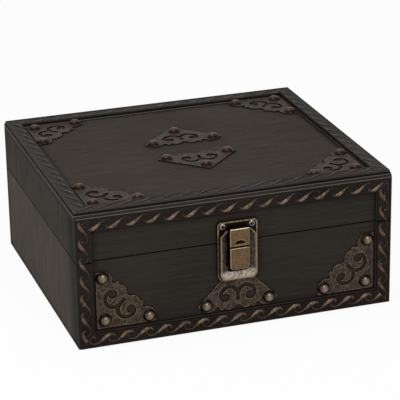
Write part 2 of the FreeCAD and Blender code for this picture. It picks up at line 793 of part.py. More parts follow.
def hinge_screw(x, z):
    """Countersunk screw through a leaf into the back board."""
    flat = half_depth + hinge_leaf_thickness
    screw = turned([(0, 0), (hinge_screw_head_radius, 0), (hinge_screw_radius, -hinge_leaf_thickness),
                    (hinge_screw_radius, -hinge_leaf_thickness - hinge_screw_grip),
                    (0, -hinge_leaf_thickness - hinge_screw_grip - hinge_screw_radius)])
    return placed(screw, FreeCAD.Placement(V(x, flat, z), FreeCAD.Rotation(X, -90)))


hinge_nodes = {}
hinge_screws = {"base": [], "lid": []}
for hinge_name, hinge_x in (("left", -hinge_spacing / 2), ("right", hinge_spacing / 2)):
    hinge_pin = rod(hinge_pin_radius, V(hinge_x - hinge_width / 2, hinge_axis, parting),
                    V(hinge_x + hinge_width / 2, hinge_axis, parting))
    hinge_nodes[hinge_name + "_hinge_pin"] = hinge_pin
    for leaf_name, body, upward in (("lower", "base", False), ("upper", "lid", True)):
        middle = leaf_start + hinge_leaf_height / 2
        level = parting + middle if upward else parting - middle
        screw_places = (hinge_x - hinge_screw_spread, hinge_x + hinge_screw_spread)
        leaf_screws = [hinge_screw(x, level) for x in screw_places]
        hinge_screws[body] += leaf_screws
        leaf = bored(hinge_leaf(hinge_x, upward), leaf_screws)
        hinge_nodes[hinge_name + "_hinge_" + leaf_name + "_leaf"] = leaf
base_back = bored(base_back, hinge_screws["base"])
lid_back = bored(lid_back, hinge_screws["lid"])


# The front centre plate is cropped where the latch plate sits on the wood

plate = pierced_plate()
plates = {name: placed(plate, place) for name, place in {**front_plate_places, **lid_plate_places}.items()}
under_latch = span(-half_width, half_width, latch_bottom - frame_gap, lid_top,
                   -slack, plate_thickness + slack)
plates["front_centre_plate"] = plates["front_centre_plate"].cut(placed(under_latch, FRONT))

nodes = {
    "base_front_board": base_front,
    "base_back_board": base_back,
    "base_left_board": base_left,
    "base_right_board": base_right,
    "base_bottom_panel": bottom_panel,
    "lid_front_rail": lid_front,
    "lid_back_rail": lid_back,
    "lid_left_rail": lid_left,
    "lid_right_rail": lid_right,
    "lid_top_panel": lid_panel,
    "front_bottom_moulding": front_bottom_moulding,
    "front_left_lower_moulding": front_left_lower,
    "front_right_lower_moulding": front_right_lower,
    "front_left_upper_moulding": front_left_upper,
    "front_right_upper_moulding": front_right_upper,
    "front_top_moulding": front_top_moulding,
    "top_front_moulding": top_front_moulding,
    "top_back_moulding": top_back_moulding,
    "top_left_moulding": top_left_moulding,
    "top_right_moulding": top_right_moulding,
    "base_dome_nails": Part.makeCompound(front_nails),
    "lid_dome_nails": Part.makeCompound(lid_nails),
    "base_hinge_screws": Part.makeCompound(hinge_screws["base"]),
    "lid_hinge_screws": Part.makeCompound(hinge_screws["lid"]),
    **plates,
    **latch_nodes,
    **hinge_nodes,
}

os.makedirs("parts", exist_ok=True)
for name, shape in nodes.items():
    shape.exportStep(os.path.join("parts", name + ".step"))
print(len(nodes), "nodes,", sum(len(shape.Solids) for shape in nodes.values()), "solids")
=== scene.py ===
# %% [markdown]
# # Dressing a wooden keepsake chest
# The chest arrives as a finished CAD assembly: boards, mouldings, pierced plates, nails, latch and hinges.
# This lesson gives every piece its finish, adds the fine carving that is too small for the CAD model,
# and sets up the camera and the light. The CAD pieces are never moved, so the lid and the latch still work.

# %% Load the chest
import bmesh
import bpy
import math
from mathutils import Matrix, Quaternion, Vector


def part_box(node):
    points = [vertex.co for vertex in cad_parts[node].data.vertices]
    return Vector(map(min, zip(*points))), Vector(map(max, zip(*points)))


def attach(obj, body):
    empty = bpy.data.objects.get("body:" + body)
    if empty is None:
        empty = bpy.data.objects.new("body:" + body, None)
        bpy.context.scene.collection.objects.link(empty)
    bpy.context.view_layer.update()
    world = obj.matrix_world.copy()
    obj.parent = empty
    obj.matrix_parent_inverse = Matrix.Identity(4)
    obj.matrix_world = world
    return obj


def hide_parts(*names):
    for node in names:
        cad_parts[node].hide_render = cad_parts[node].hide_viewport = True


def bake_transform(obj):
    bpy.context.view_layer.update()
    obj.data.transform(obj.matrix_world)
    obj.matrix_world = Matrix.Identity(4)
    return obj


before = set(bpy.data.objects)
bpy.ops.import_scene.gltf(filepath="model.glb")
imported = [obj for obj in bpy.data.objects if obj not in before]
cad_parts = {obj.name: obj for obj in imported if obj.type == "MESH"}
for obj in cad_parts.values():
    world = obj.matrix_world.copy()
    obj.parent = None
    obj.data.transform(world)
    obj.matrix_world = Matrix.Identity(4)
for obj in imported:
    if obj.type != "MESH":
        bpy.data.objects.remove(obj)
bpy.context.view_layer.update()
MM = 0.001

# %% [markdown]
# ## Placing shader nodes
# A material is a tree of nodes. Writing each node out in full hides what the finish does, so two helpers
# add a node and connect it. A value may be a plain number or the output of another node.


# %% Add and connect nodes
def feed(tree, socket, value):
    """Give an input socket a plain value, or a link from another node's output."""
    if isinstance(value, bpy.types.NodeSocket):
        tree.links.new(value, socket)
    else:
        socket.default_value = value


def add(tree, kind, inputs=None, **settings):
    """Add a node with its settings and inputs, and return it."""
    made = tree.nodes.new(kind)
    for name, value in settings.items():
        setattr(made, name, value)
    for name, value in (inputs or {}).items():
        feed(tree, made.inputs[name], value)
    return made


print("helpers:", feed.__name__, add.__name__)

# %% [markdown]
# ## Mixing colours and values
# Four kinds of node do nearly all the work in a finish: one mixes two colours, one stretches a value to
# another range, one multiplies, and one makes soft random patches. Each gets a short name here, so that a
# finish later reads as a list of layers, from the bare material up to the dirt.


# %% Mix, stretch, multiply and vary
def mixed(tree, share, first, second):
    """Colour that goes from the first to the second as the share goes from 0 to 1."""
    made = add(tree, "ShaderNodeMix", data_type="RGBA")
    for index, value in ((0, share), (6, first), (7, second)):
        feed(tree, made.inputs[index], value)
    return made.outputs[2]


def ramp(tree, value, low, high, start=0.0, end=1.0):
    """Value stretched from the range low to high onto the range start to end."""
    made = add(tree, "ShaderNodeMapRange", {"Value": value, "From Min": low, "From Max": high,
                                            "To Min": start, "To Max": end})
    return made.outputs["Result"]


def times(tree, first, second):
    """Product of two values."""
    return add(tree, "ShaderNodeMath", {0: first, 1: second}, operation="MULTIPLY").outputs[0]


def noise(tree, vector, scale, detail=3.0, roughness=0.5):
    """Soft random value between 0 and 1, about scale patches to the metre."""
    made = add(tree, "ShaderNodeTexNoise", {"Vector": vector, "Scale": scale, "Detail": detail,
                                            "Roughness": roughness})
    return made.outputs["Fac"]


print("helpers:", mixed.__name__, ramp.__name__, times.__name__, noise.__name__)

# %% [markdown]
# ## Wood grain, shared by every wooden piece
# Stained wood keeps its grain as long faint streaks, short dark pores and slow cloudy patches of stain.
# All three are noise, and what turns noise into grain is stretching it along one direction. The group takes
# coordinates whose X runs along the grain, so the same grain serves boards that lie in different directions.

# %% Grain group
VALUE, VECTOR = "NodeSocketFloat", "NodeSocketVector"


def new_group(name, inputs, outputs):
    """Empty shader group with named sockets; returns the group, its inputs and its outputs."""
    group = bpy.data.node_groups.new(name, "ShaderNodeTree")
    for socket, kind in inputs:
        group.interface.new_socket(socket, in_out="INPUT", socket_type=kind)
    for socket in outputs:
        group.interface.new_socket(socket, in_out="OUTPUT", socket_type=VALUE)
    return group, group.nodes.new("NodeGroupInput").outputs, group.nodes.new("NodeGroupOutput").inputs


# Marks to the metre along and across the grain, and how finely each is broken up.
GRAIN_MARKS = [("Streaks", (28, 820, 820), 4.0), ("Pores", (170, 2600, 2600), 2.0)]
CLOUDS_PER_METRE = 14.0
grain, given, result = new_group("wood_grain", [("Along grain", VECTOR)], ["Streaks", "Pores", "Clouds"])
for output, stretch, detail in GRAIN_MARKS:
    squeezed = add(grain, "ShaderNodeMapping", {"Vector": given["Along grain"], "Scale": stretch})
    streaky = noise(grain, squeezed.outputs["Vector"], 1.0, detail, 0.62)
    feed(grain, result[output], ramp(grain, streaky, 0.34, 0.68))
cloudy = noise(grain, given["Along grain"], CLOUDS_PER_METRE)
feed(grain, result["Clouds"], ramp(grain, cloudy, 0.32, 0.68))
print("group:", grain.name, [socket.name for socket in result if socket.name])

# %% [markdown]
# ## Wear, tarnish and painted shade, shared by all the finishes
# Handling polishes the sharp edges and leaves dirt in the hollows, which also carry painted shade. The Bevel
# node finds edges: it rounds the
# normal near an edge, so the normal differs from the flat one there. Ambient Occlusion finds hollows.
# Noise breaks up the edges, because real wear is never an even line, and gives the mottling and the specks.

# %% Wear group
# The rounded and the flat normal agree fully on a flat face and much less on a sharp edge, and light reaches
# most of an open face and less of a hollow.
FLAT, SHARP = 0.995, 0.86
OPEN, HOLLOW = 0.95, 0.45
wear_and_shade, given, result = new_group("wear_tarnish_and_shade",
                                [("Position", VECTOR), ("Edge width", VALUE), ("Hollow reach", VALUE)],
                                ["Edge", "Hollow", "Mottle", "Specks"])
rounded = add(wear_and_shade, "ShaderNodeBevel", {"Radius": given["Edge width"]}, samples=6)
flat = add(wear_and_shade, "ShaderNodeNewGeometry")
facing = add(wear_and_shade, "ShaderNodeVectorMath", {0: rounded.outputs["Normal"], 1: flat.outputs["True Normal"]},
             operation="DOT_PRODUCT")
broken = ramp(wear_and_shade, noise(wear_and_shade, given["Position"], 900.0), 0.36, 0.6, 0.15, 1.0)
feed(wear_and_shade, result["Edge"], times(wear_and_shade, ramp(wear_and_shade, facing.outputs["Value"], FLAT, SHARP), broken))
# Ambient Occlusion darkens the hollows: dirt and painted shade together.
shade = add(wear_and_shade, "ShaderNodeAmbientOcclusion", {"Distance": given["Hollow reach"]}, samples=8)
feed(wear_and_shade, result["Hollow"], ramp(wear_and_shade, shade.outputs["AO"], OPEN, HOLLOW))
mottling = noise(wear_and_shade, given["Position"], 420.0, 6.0, 0.68)
feed(wear_and_shade, result["Mottle"], ramp(wear_and_shade, mottling, 0.38, 0.62))
specks = noise(wear_and_shade, given["Position"], 1500.0, 2.0)
feed(wear_and_shade, result["Specks"], ramp(wear_and_shade, specks, 0.52, 0.66))
print("group:", wear_and_shade.name, [socket.name for socket in result if socket.name])

# %% [markdown]
# ## Levels, shared by several finishes
# Some finishes change at a certain level: a joint between boards is a black line at one height, and a metal
# front is bright where it stands proud and painted black where it lies deep, which is painted shade. One
# group draws a line at a height, and the other gives a soft step between two depths. Both only compare one
# coordinate with a number.

# %% Joint line and depth step groups
joint_line, given, result = new_group("joint_line",
                                      [("Position", VECTOR), ("Height", VALUE), ("Half width", VALUE)],
                                      ["Line"])
upward = add(joint_line, "ShaderNodeSeparateXYZ", {0: given["Position"]}).outputs["Z"]
near = add(joint_line, "ShaderNodeMath", {0: upward, 1: given["Height"], 2: given["Half width"]},
           operation="COMPARE")
feed(joint_line, result["Line"], near.outputs[0])
depth_step, given, result = new_group("depth_step",
                                      [("Position", VECTOR), ("Start", VALUE), ("End", VALUE)], ["Step"])
inward = add(depth_step, "ShaderNodeSeparateXYZ", {0: given["Position"]}).outputs["Y"]
feed(depth_step, result["Step"], ramp(depth_step, inward, given["Start"], given["End"]))
print("groups:", joint_line.name, depth_step.name)

# %% [markdown]
# ## The start of a finish
# Every finish starts the same way: an empty material with one Principled shader, fed by Object coordinates.
# Object coordinates are in metres here, so a pattern keeps its real size on every piece.


# %% Start of a finish
def new_finish(name, settings):
    """New material; returns it, its tree, its Principled shader and its Object coordinates."""
    material = bpy.data.materials.new(name)
    material.use_nodes = True
    tree = material.node_tree
    shader = tree.nodes["Principled BSDF"]
    for socket, value in settings.items():
        shader.inputs[socket].default_value = value
    return material, tree, shader, add(tree, "ShaderNodeTexCoord").outputs["Object"]


def grouped(tree, group, inputs):
    """Place a shader group in a material and return its outputs."""
    return add(tree, "ShaderNodeGroup", inputs, node_tree=group).outputs


def worn_and_shaded(tree, place, edge_width, hollow_reach):
    """The wear masks and the painted shade of hollows, with the width of worn edges and the reach of hollows
    in millimetres.
    """
    return grouped(tree, wear_and_shade, {"Position": place, "Edge width": edge_width * MM,
                                "Hollow reach": hollow_reach * MM})


def raise_bumps(tree, shader, height, depth):
    """Turn a value into fine relief, with its depth in millimetres."""
    bump = add(tree, "ShaderNodeBump", {"Height": height, "Distance": depth * MM, "Strength": 1.0})
    feed(tree, shader.inputs["Normal"], bump.outputs["Normal"])


print("helpers:", new_finish.__name__, grouped.__name__, worn_and_shaded.__name__, raise_bumps.__name__)

# %% [markdown]
# ## Lines and steps in a finish
# Two more helpers place the level groups. A line at a height draws a joint or the crown of a bead, and a step
# between two depths tells the proud parts of the front from the sunken ones.

# %% Joints and depths
SEAM_BLACK = (0.002, 0.002, 0.002, 1)
LINE_COVER = 0.92


def stepped(tree, place, start, end):
    """Share that goes from 0 to 1 between two levels, in millimetres out from the middle to the front."""
    return grouped(tree, depth_step, {"Position": place, "Start": -start * MM, "End": -end * MM})["Step"]


def joint_lines(tree, place, colour, lines, ink=SEAM_BLACK):
    """The colour with an inked line at each (height in metres, half the line's width in millimetres)."""
    for height, half in lines:
        near = grouped(tree, joint_line, {"Position": place, "Height": height, "Half width": half * MM})
        colour = mixed(tree, times(tree, near["Line"], LINE_COVER), colour, ink)
    return colour


print("helpers:", stepped.__name__, joint_lines.__name__)

# %% [markdown]
# ### Ebonised boards
# The boards are stained nearly black, and the stain lets a little grey-brown grain through. The layers are
# the streaks, the pores, the clouds of stain, the rubbed edges, and soot and painted shade in the corners.
# The grain runs across the front and the top and up the sides, and each face is painted paler or darker for
# the light that falls on it, which is painted light and shade, so the recipe is a function used once for each
# kind of board.

# %% Ebonised wood
BOARD_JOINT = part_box("lid_left_rail")[1].z
PARTING = (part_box("base_left_board")[1].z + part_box("lid_left_rail")[0].z) / 2
BOARD_LINES = [(BOARD_JOINT, 0.45), (PARTING, 0.5)]
EDGE_BLACK = (0.008, 0.007, 0.006, 1)
STAIN = {"dark": (0.03, 0.025, 0.021), "pale": (0.05, 0.0425, 0.0355), "pores": (0.016, 0.013, 0.011),
         "clouds": (0.053, 0.046, 0.038), "rubbed": (0.085, 0.07, 0.056), "soot_and_shade": (0.005, 0.004, 0.0035)}


def ebonised_wood(name, turn, face_light, figure, soot_and_shade, dark_edge=None):
    """Dark stained board, with its grain turned to lie along X.

    Face light above 1 paints the board paler and below 1 darker, painted light and shade for its face. Figure
    is how far the grain stands out, and soot and shade is how dark the hollows are painted, soot and painted
    shade together. Dark edge is where a side starts and ends to darken toward the front, in millimetres from
    the middle.
    """
    # Face light scales the stain: painted light and shade for the face the board is on.
    stained = {part: (*(level * face_light for level in colour), 1) for part, colour in STAIN.items()}
    wood, tree, shader, place = new_finish(name, {"Specular IOR Level": 0.01})
    turned = add(tree, "ShaderNodeMapping", {"Vector": place, "Rotation": turn})
    lines = grouped(tree, grain, {"Along grain": turned.outputs["Vector"]})
    marks = worn_and_shaded(tree, place, edge_width=0.6, hollow_reach=7.0)
    streaks = ramp(tree, lines["Streaks"], 0.0, 1.0, 0.5 - figure / 2, 0.5 + figure / 2)
    stain = mixed(tree, streaks, stained["dark"], stained["pale"])
    # The hollows take the soot and shade colour: soot and painted shade together.
    for share, part in ((times(tree, lines["Pores"], 0.5 * figure), "pores"),
                        (times(tree, lines["Clouds"], 0.35), "clouds"),
                        (times(tree, marks["Edge"], 0.3), "rubbed"),
                        (times(tree, marks["Hollow"], soot_and_shade), "soot_and_shade")):
        stain = mixed(tree, share, stain, stained[part])
    if dark_edge is not None:
        stain = mixed(tree, times(tree, stepped(tree, place, *dark_edge), 0.8), stain, EDGE_BLACK)
    stain = joint_lines(tree, place, stain, BOARD_LINES)
    feed(tree, shader.inputs["Base Color"], stain)
    feed(tree, shader.inputs["Roughness"], ramp(tree, lines["Streaks"], 0.0, 1.0, 0.66, 0.54))
    raise_bumps(tree, shader, lines["Pores"], -0.05)
    return wood


ACROSS, UPRIGHT = (0, 0, 0), (0, math.radians(90), 0)
SIDE_EDGE = (86.0, 107.0)
# Face light makes each kind of board paler or darker as painted light and shade, and the top has deeper
# painted shade in its hollows, under the pierced lid plates.
wood_across = ebonised_wood("ebonised_wood_across", ACROSS, face_light=0.7, figure=0.9, soot_and_shade=0.9)
wood_top = ebonised_wood("ebonised_wood_top", ACROSS, face_light=1.25, figure=1.7, soot_and_shade=2.4)
wood_base_side = ebonised_wood("ebonised_wood_base_side", UPRIGHT, face_light=2.0, figure=1.7, soot_and_shade=0.9,
                               dark_edge=SIDE_EDGE)
wood_lid_side = ebonised_wood("ebonised_wood_lid_side", UPRIGHT, face_light=1.3, figure=1.7, soot_and_shade=0.9,
                              dark_edge=SIDE_EDGE)
print("finishes:", wood_across.name, wood_top.name, wood_base_side.name, wood_lid_side.name)

# %% [markdown]
# ### Mouldings
# The mouldings are the same wood under a harder black lacquer. Their lips are rubbed a little lighter, and
# the quirks beside them are darkened, dirt and painted shade together, so edges and hollows matter more than
# grain.
# Between the strips of the front and of the top, and beside the front panel, a paler bead line shows between
# two black lines; beside the panel the black is dirt and painted shade in the joint.

# %% Black lacquered moulding
LID_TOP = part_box("lid_top_panel")[1].z
QUIRK_BLACK = (0.003, 0.0025, 0.002, 1)
# Levels behind the joint, in millimetres, where the bead beside the front panel starts and ends.
BEAD_FRONT, BEAD_BACK = (1.2, 1.4), (2.25, 2.05)


def lacquered(name, dark, pale, rubbed, seams, beads, joint=None):
    """Lacquered strip, between a dark and a pale tone, with rubbed edges.

    Seams are black lines and beads are paler lines in the rubbed colour, as (height in metres, half width in
    millimetres). Behind the joint level, in millimetres, where the strip meets the front panel, it is painted
    black as well, dirt and painted shade in the joint, apart from a paler line on the crown of the bead
    there.
    """
    lacquer, tree, shader, place = new_finish(name, {"Specular IOR Level": 0.02})
    lines = grouped(tree, grain, {"Along grain": place})
    marks = worn_and_shaded(tree, place, edge_width=0.8, hollow_reach=3.0)
    coat = mixed(tree, lines["Clouds"], dark, pale)
    coat = mixed(tree, times(tree, marks["Mottle"], 0.35), coat, pale)
    coat = mixed(tree, times(tree, marks["Edge"], 0.7), coat, rubbed)
    # The hollows take the quirk black: dirt and painted shade.
    coat = mixed(tree, times(tree, marks["Hollow"], 0.9), coat, QUIRK_BLACK)
    coat = joint_lines(tree, place, coat, seams)
    coat = joint_lines(tree, place, coat, beads, rubbed)
    # Behind the joint level the strip is painted black: dirt and painted shade in the joint.
    if joint is not None:
        groove = stepped(tree, place, joint, joint - 0.4)
        coat = mixed(tree, times(tree, groove, 0.95), coat, SEAM_BLACK)
        front, back = (stepped(tree, place, joint - start, joint - end)
                       for start, end in (BEAD_FRONT, BEAD_BACK))
        coat = mixed(tree, times(tree, times(tree, front, back), 0.3), coat, rubbed)
    feed(tree, shader.inputs["Base Color"], coat)
    feed(tree, shader.inputs["Roughness"], ramp(tree, marks["Mottle"], 0.0, 1.0, 0.4, 0.55))
    raise_bumps(tree, shader, marks["Mottle"], 0.03)
    return lacquer


front_lacquer = lacquered("front_lacquer", dark=(0.009, 0.0075, 0.0065, 1), pale=(0.018, 0.015, 0.013, 1),
                          rubbed=(0.085, 0.075, 0.064, 1),
                          seams=[(LID_TOP - 0.35 * MM, 0.3), (PARTING, 0.7)],
                          beads=[(LID_TOP - 1.0 * MM, 0.3)], joint=116.95)
# The lid's lacquer is painted paler than the front's: a painted sheen on the top strips, seen at a glancing
# angle.
lid_lacquer = lacquered("lid_lacquer", dark=(0.024, 0.021, 0.018, 1), pale=(0.042, 0.037, 0.033, 1),
                        rubbed=(0.13, 0.115, 0.097, 1), seams=[(LID_TOP + 1.5 * MM, 0.6)],
                        beads=[(LID_TOP + 0.35 * MM, 0.35)])
print("finishes:", front_lacquer.name, lid_lacquer.name)

# %% [markdown]
# ### Brushed gilding on the waves
# The carved waves are lacquered with the strip and then brushed with bronze paint, which only touches the
# high parts. The height of the carving is stored on each piece as an attribute called gilding, and the
# paint follows it: bright and coppery on the crests, thin and grey in the tails.

# %% Gilded and plain carving
CARVING_BLACK = (0.009, 0.0075, 0.0065, 1)


def carved_finish(name, thin, thick, cover, painted=(0.3, 0.7)):
    """Lacquered carving with paint on its high parts, and on plain carving a painted highlight there; cover
    is how much of it there is.

    Painted is the height of the carving, from 0 to 1, where the paint starts and where it is full.
    """
    carving, tree, shader, place = new_finish(name, {"Specular IOR Level": 0.04})
    marks = worn_and_shaded(tree, place, edge_width=0.3, hollow_reach=1.5)
    height = add(tree, "ShaderNodeAttribute", attribute_name="gilding").outputs["Fac"]
    rubbed = ramp(tree, marks["Mottle"], 0.15, 0.7, 0.35, 1.0)
    crest_colour = mixed(tree, ramp(tree, height, 0.6, 1.0), thin, thick)
    crest_colour = mixed(tree, times(tree, marks["Specks"], 0.8), crest_colour, thin)
    share = times(tree, times(tree, ramp(tree, height, *painted), rubbed), cover)
    feed(tree, shader.inputs["Base Color"], mixed(tree, share, CARVING_BLACK, crest_colour))
    feed(tree, shader.inputs["Metallic"], times(tree, share, 0.45))
    feed(tree, shader.inputs["Roughness"], ramp(tree, marks["Mottle"], 0.0, 1.0, 0.5, 0.4))
    raise_bumps(tree, shader, marks["Mottle"], 0.05)
    return carving


THIN_GILT, THICK_GILT = (0.1, 0.073, 0.051, 1), (0.24, 0.15, 0.082, 1)
gilded = carved_finish("gilded_carving", THIN_GILT, THICK_GILT, cover=1.0)
gilded_crests = carved_finish("gilded_crests", THIN_GILT, THICK_GILT, cover=1.0, painted=(0.45, 0.8))
faded = carved_finish("faded_carving", thin=(0.075, 0.052, 0.037, 1), thick=(0.18, 0.105, 0.06, 1),
                      cover=0.85)
# The plain carving has no paint: its paler crests are a painted highlight.
plain_carving = carved_finish("plain_carving", thin=(0.034, 0.029, 0.024, 1), thick=(0.062, 0.052, 0.043, 1),
                              cover=0.8)
print("finishes:", gilded.name, gilded_crests.name, faded.name, plain_carving.name)

# %% [markdown]
# ### Old metal
# The metals share one recipe with different colours: a tarnished body colour with mottling, brighter rubbed
# edges, and dark dirt and painted shade in the hollows and round every nail. Some pieces of the latch are
# also polished where they stand proud; the frame's lower bar is painted bright, a painted reflection; and the
# deep parts are painted black, painted shade, behind a painted highlight on their rounded edges.


# %% Tarnished metal
def tarnished_metal(name, shine, polish, body, patch, edge, dirt_and_shade, edge_width, hollow_reach,
                    rubbed_level=None, sunk_level=None, bright=None):
    """Aged metal. Shine is its metallic share, polish the roughness of clean and of mottled parts.

    Parts of the front that stand out beyond the rubbed level, in millimetres, are polished to the edge
    colour. Parts that lie behind the sunk level are painted in the edge colour on the rounded edge, a painted
    highlight, and then black, painted shade. Bright is a height in metres and the colour painted below it, a
    painted reflection.
    """
    metal, tree, shader, place = new_finish(name, {"Metallic": shine, "Specular IOR Level": 0.1})
    marks = worn_and_shaded(tree, place, edge_width, hollow_reach)
    colour = mixed(tree, marks["Mottle"], body, patch)
    colour = mixed(tree, times(tree, marks["Specks"], 0.6), colour, dirt_and_shade)
    # Below the bright height the colour is painted toward a brighter one: a painted reflection.
    if bright is not None:
        height, reflected_colour = bright
        upward = add(tree, "ShaderNodeSeparateXYZ", {0: place}).outputs["Z"]
        below = ramp(tree, upward, height, height - 2.0 * MM)
        lit_share = ramp(tree, marks["Mottle"], 0.2, 1.0, 1.0, 0.2)
        colour = mixed(tree, times(tree, below, lit_share), colour, reflected_colour)
    if rubbed_level is not None:
        proud = stepped(tree, place, rubbed_level - 0.1, rubbed_level + 0.1)
        kept = ramp(tree, marks["Mottle"], 0.0, 1.0, 1.0, 0.5)
        colour = mixed(tree, times(tree, proud, kept), colour, edge)
    colour = mixed(tree, marks["Edge"], colour, edge)
    # Hollows take the dark colour: dirt and painted shade.
    colour = mixed(tree, marks["Hollow"], colour, dirt_and_shade)
    # Behind the sunk level: a painted highlight on the rounded edge, then painted shade on the flanks and in
    # the recesses.
    if sunk_level is not None:
        colour = mixed(tree, stepped(tree, place, sunk_level, sunk_level - 0.15), colour, edge)
        colour = mixed(tree, stepped(tree, place, sunk_level - 0.3, sunk_level - 0.5), colour, dirt_and_shade)
    feed(tree, shader.inputs["Base Color"], colour)
    feed(tree, shader.inputs["Roughness"], ramp(tree, marks["Mottle"], 0.0, 1.0, *polish))
    raise_bumps(tree, shader, marks["Mottle"], 0.02)
    return metal


print("recipe:", tarnished_metal.__name__)

# %% [markdown]
# ### Plates, hinges and small steel
# The front plates are a warm bronze with copper showing on the rubbed edges, and the lid plates are painted
# darker, painted shade for the dim surroundings that their upward faces reflect. The hinges are plain brass,
# and the hinge screws, the pins and the spring are dull steel.

# %% Plate, hinge and steel finishes
bronze = tarnished_metal("antique_bronze_plate", shine=0.3, polish=(0.4, 0.55), body=(0.088, 0.064, 0.042, 1),
                         patch=(0.02, 0.014, 0.01, 1), edge=(0.32, 0.185, 0.11, 1),
                         dirt_and_shade=(0.006, 0.0045, 0.0035, 1), edge_width=1.0, hollow_reach=4.0)
# The lid plates are painted darker than the front ones: painted shade for the dim surroundings their tops
# reflect.
lid_bronze = tarnished_metal("dark_bronze_plate", shine=0.2, polish=(0.45, 0.6),
                             body=(0.038, 0.029, 0.022, 1), patch=(0.016, 0.009, 0.006, 1),
                             edge=(0.19, 0.135, 0.098, 1), dirt_and_shade=(0.005, 0.004, 0.003, 1),
                             edge_width=1.0, hollow_reach=4.0)
hinge_brass = tarnished_metal("aged_hinge_brass", shine=0.6, polish=(0.26, 0.4), body=(0.16, 0.11, 0.055, 1),
                              patch=(0.08, 0.053, 0.03, 1), edge=(0.4, 0.29, 0.14, 1),
                              dirt_and_shade=(0.004, 0.003, 0.002, 1), edge_width=0.6, hollow_reach=2.0)
steel = tarnished_metal("dull_steel", shine=0.6, polish=(0.25, 0.4), body=(0.2, 0.185, 0.165, 1),
                        patch=(0.1, 0.09, 0.08, 1), edge=(0.42, 0.39, 0.35, 1),
                        dirt_and_shade=(0.002, 0.002, 0.002, 1), edge_width=0.5, hollow_reach=1.5)
print("finishes:", bronze.name, lid_bronze.name, hinge_brass.name, steel.name)

# %% [markdown]
# ### Latch metals
# The latch is stamped brass with four surfaces: a blackened back plate with a brass rim, a silvered frame
# whose lower bar is painted bright as a painted reflection, a brushed flap and slide with a painted highlight
# on their rounded edges and painted shade on their flanks and in the thumb nick, and screws whose crosses are
# painted black as painted shade. Each level is read from the CAD pieces or measured on them, in millimetres
# from the middle of the chest.

# %% Latch finishes
PLATE_RIM, FRAME_RIM, FLAP_FACE = 115.75, 118.9, 121.96
LOWER_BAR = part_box("latch_frame")[0].z + 8.0 * MM
SCREW_TOP = -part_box("strike_screws")[0].y / MM
black_plate = tarnished_metal("blackened_brass", shine=0.5, polish=(0.3, 0.45),
                              body=(0.005, 0.0045, 0.004, 1), patch=(0.01, 0.0085, 0.007, 1),
                              edge=(0.22, 0.155, 0.075, 1), dirt_and_shade=(0.002, 0.0018, 0.0015, 1),
                              edge_width=0.25, hollow_reach=3.0, rubbed_level=PLATE_RIM)
# The frame's lower bar is painted bright: a painted reflection.
silvered = tarnished_metal("silvered_brass", shine=0.5, polish=(0.2, 0.34), body=(0.09, 0.073, 0.057, 1),
                           patch=(0.02, 0.016, 0.013, 1), edge=(0.25, 0.175, 0.082, 1),
                           dirt_and_shade=(0.003, 0.0025, 0.002, 1), edge_width=0.3, hollow_reach=4.0,
                           rubbed_level=FRAME_RIM, bright=(LOWER_BAR, (0.42, 0.36, 0.3, 1)))
# The flap and slide have a painted highlight on their rounded edges and painted shade on their flanks and in
# the thumb nick.
brass = tarnished_metal("brushed_brass", shine=0.6, polish=(0.26, 0.36), body=(0.16, 0.105, 0.056, 1),
                        patch=(0.1, 0.062, 0.034, 1), edge=(0.62, 0.46, 0.23, 1),
                        dirt_and_shade=(0.0025, 0.002, 0.0015, 1), edge_width=0.9, hollow_reach=2.0,
                        sunk_level=FLAP_FACE)
# The cross recesses of the screws are painted black: painted shade.
cross_screw = tarnished_metal("cross_screw_steel", shine=0.6, polish=(0.25, 0.4), body=(0.13, 0.12, 0.108, 1),
                              patch=(0.07, 0.064, 0.057, 1), edge=(0.25, 0.232, 0.208, 1),
                              dirt_and_shade=(0.001, 0.001, 0.001, 1), edge_width=0.15, hollow_reach=1.5,
                              sunk_level=SCREW_TOP - 0.2)
print("finishes:", black_plate.name, silvered.name, brass.name, cross_screw.name)

# %% [markdown]
# ### Nails
# A stamped nail head is painted bright on the crown of its dome and dark round the rim, a painted highlight
# and painted shade that make the dome look round. The height on the dome is stored on the nail heads as an
# attribute called crown. Multiplying the share by itself makes the painted shade deepen steadily from the
# crown and not only at the rim.


# %% Nail finishes
def nail_finish(name, shaded_rim, crown, polish):
    """Stamped nail: painted shade round the rim and a painted highlight on the crown of the dome."""
    nail, tree, shader, place = new_finish(name, {"Metallic": 0.9, "Specular IOR Level": 0.1})
    marks = worn_and_shaded(tree, place, edge_width=0.3, hollow_reach=3.0)
    height = add(tree, "ShaderNodeAttribute", attribute_name="crown").outputs["Fac"]
    # The lit share runs from the dark rim to the bright crown: painted shade and a painted highlight.
    lit_share = ramp(tree, height, 0.38, 1.0)
    colour = mixed(tree, times(tree, lit_share, lit_share), shaded_rim, crown)
    colour = mixed(tree, times(tree, marks["Mottle"], 0.3), colour, shaded_rim)
    feed(tree, shader.inputs["Base Color"], colour)
    feed(tree, shader.inputs["Roughness"], ramp(tree, marks["Mottle"], 0.0, 1.0, *polish))
    return nail


# The front nails get a bright crown, a painted highlight; the lid nails are painted darker, painted shade for
# the dim surroundings their domes reflect.
front_nail = nail_finish("bronze_nail", shaded_rim=(0.01, 0.007, 0.005, 1), crown=(0.25, 0.183, 0.122, 1),
                         polish=(0.25, 0.32))
lid_nail = nail_finish("copper_nail", shaded_rim=(0.012, 0.007, 0.005, 1), crown=(0.095, 0.056, 0.038, 1),
                       polish=(0.32, 0.42))
print("finishes:", front_nail.name, lid_nail.name)

# %% [markdown]
# ## Finishing the CAD pieces
# Each CAD piece keeps its mesh and gets one of the finishes in its material slot. The name of a piece says
# what it is, so a short list of name parts is enough to choose, and the first part that fits wins.

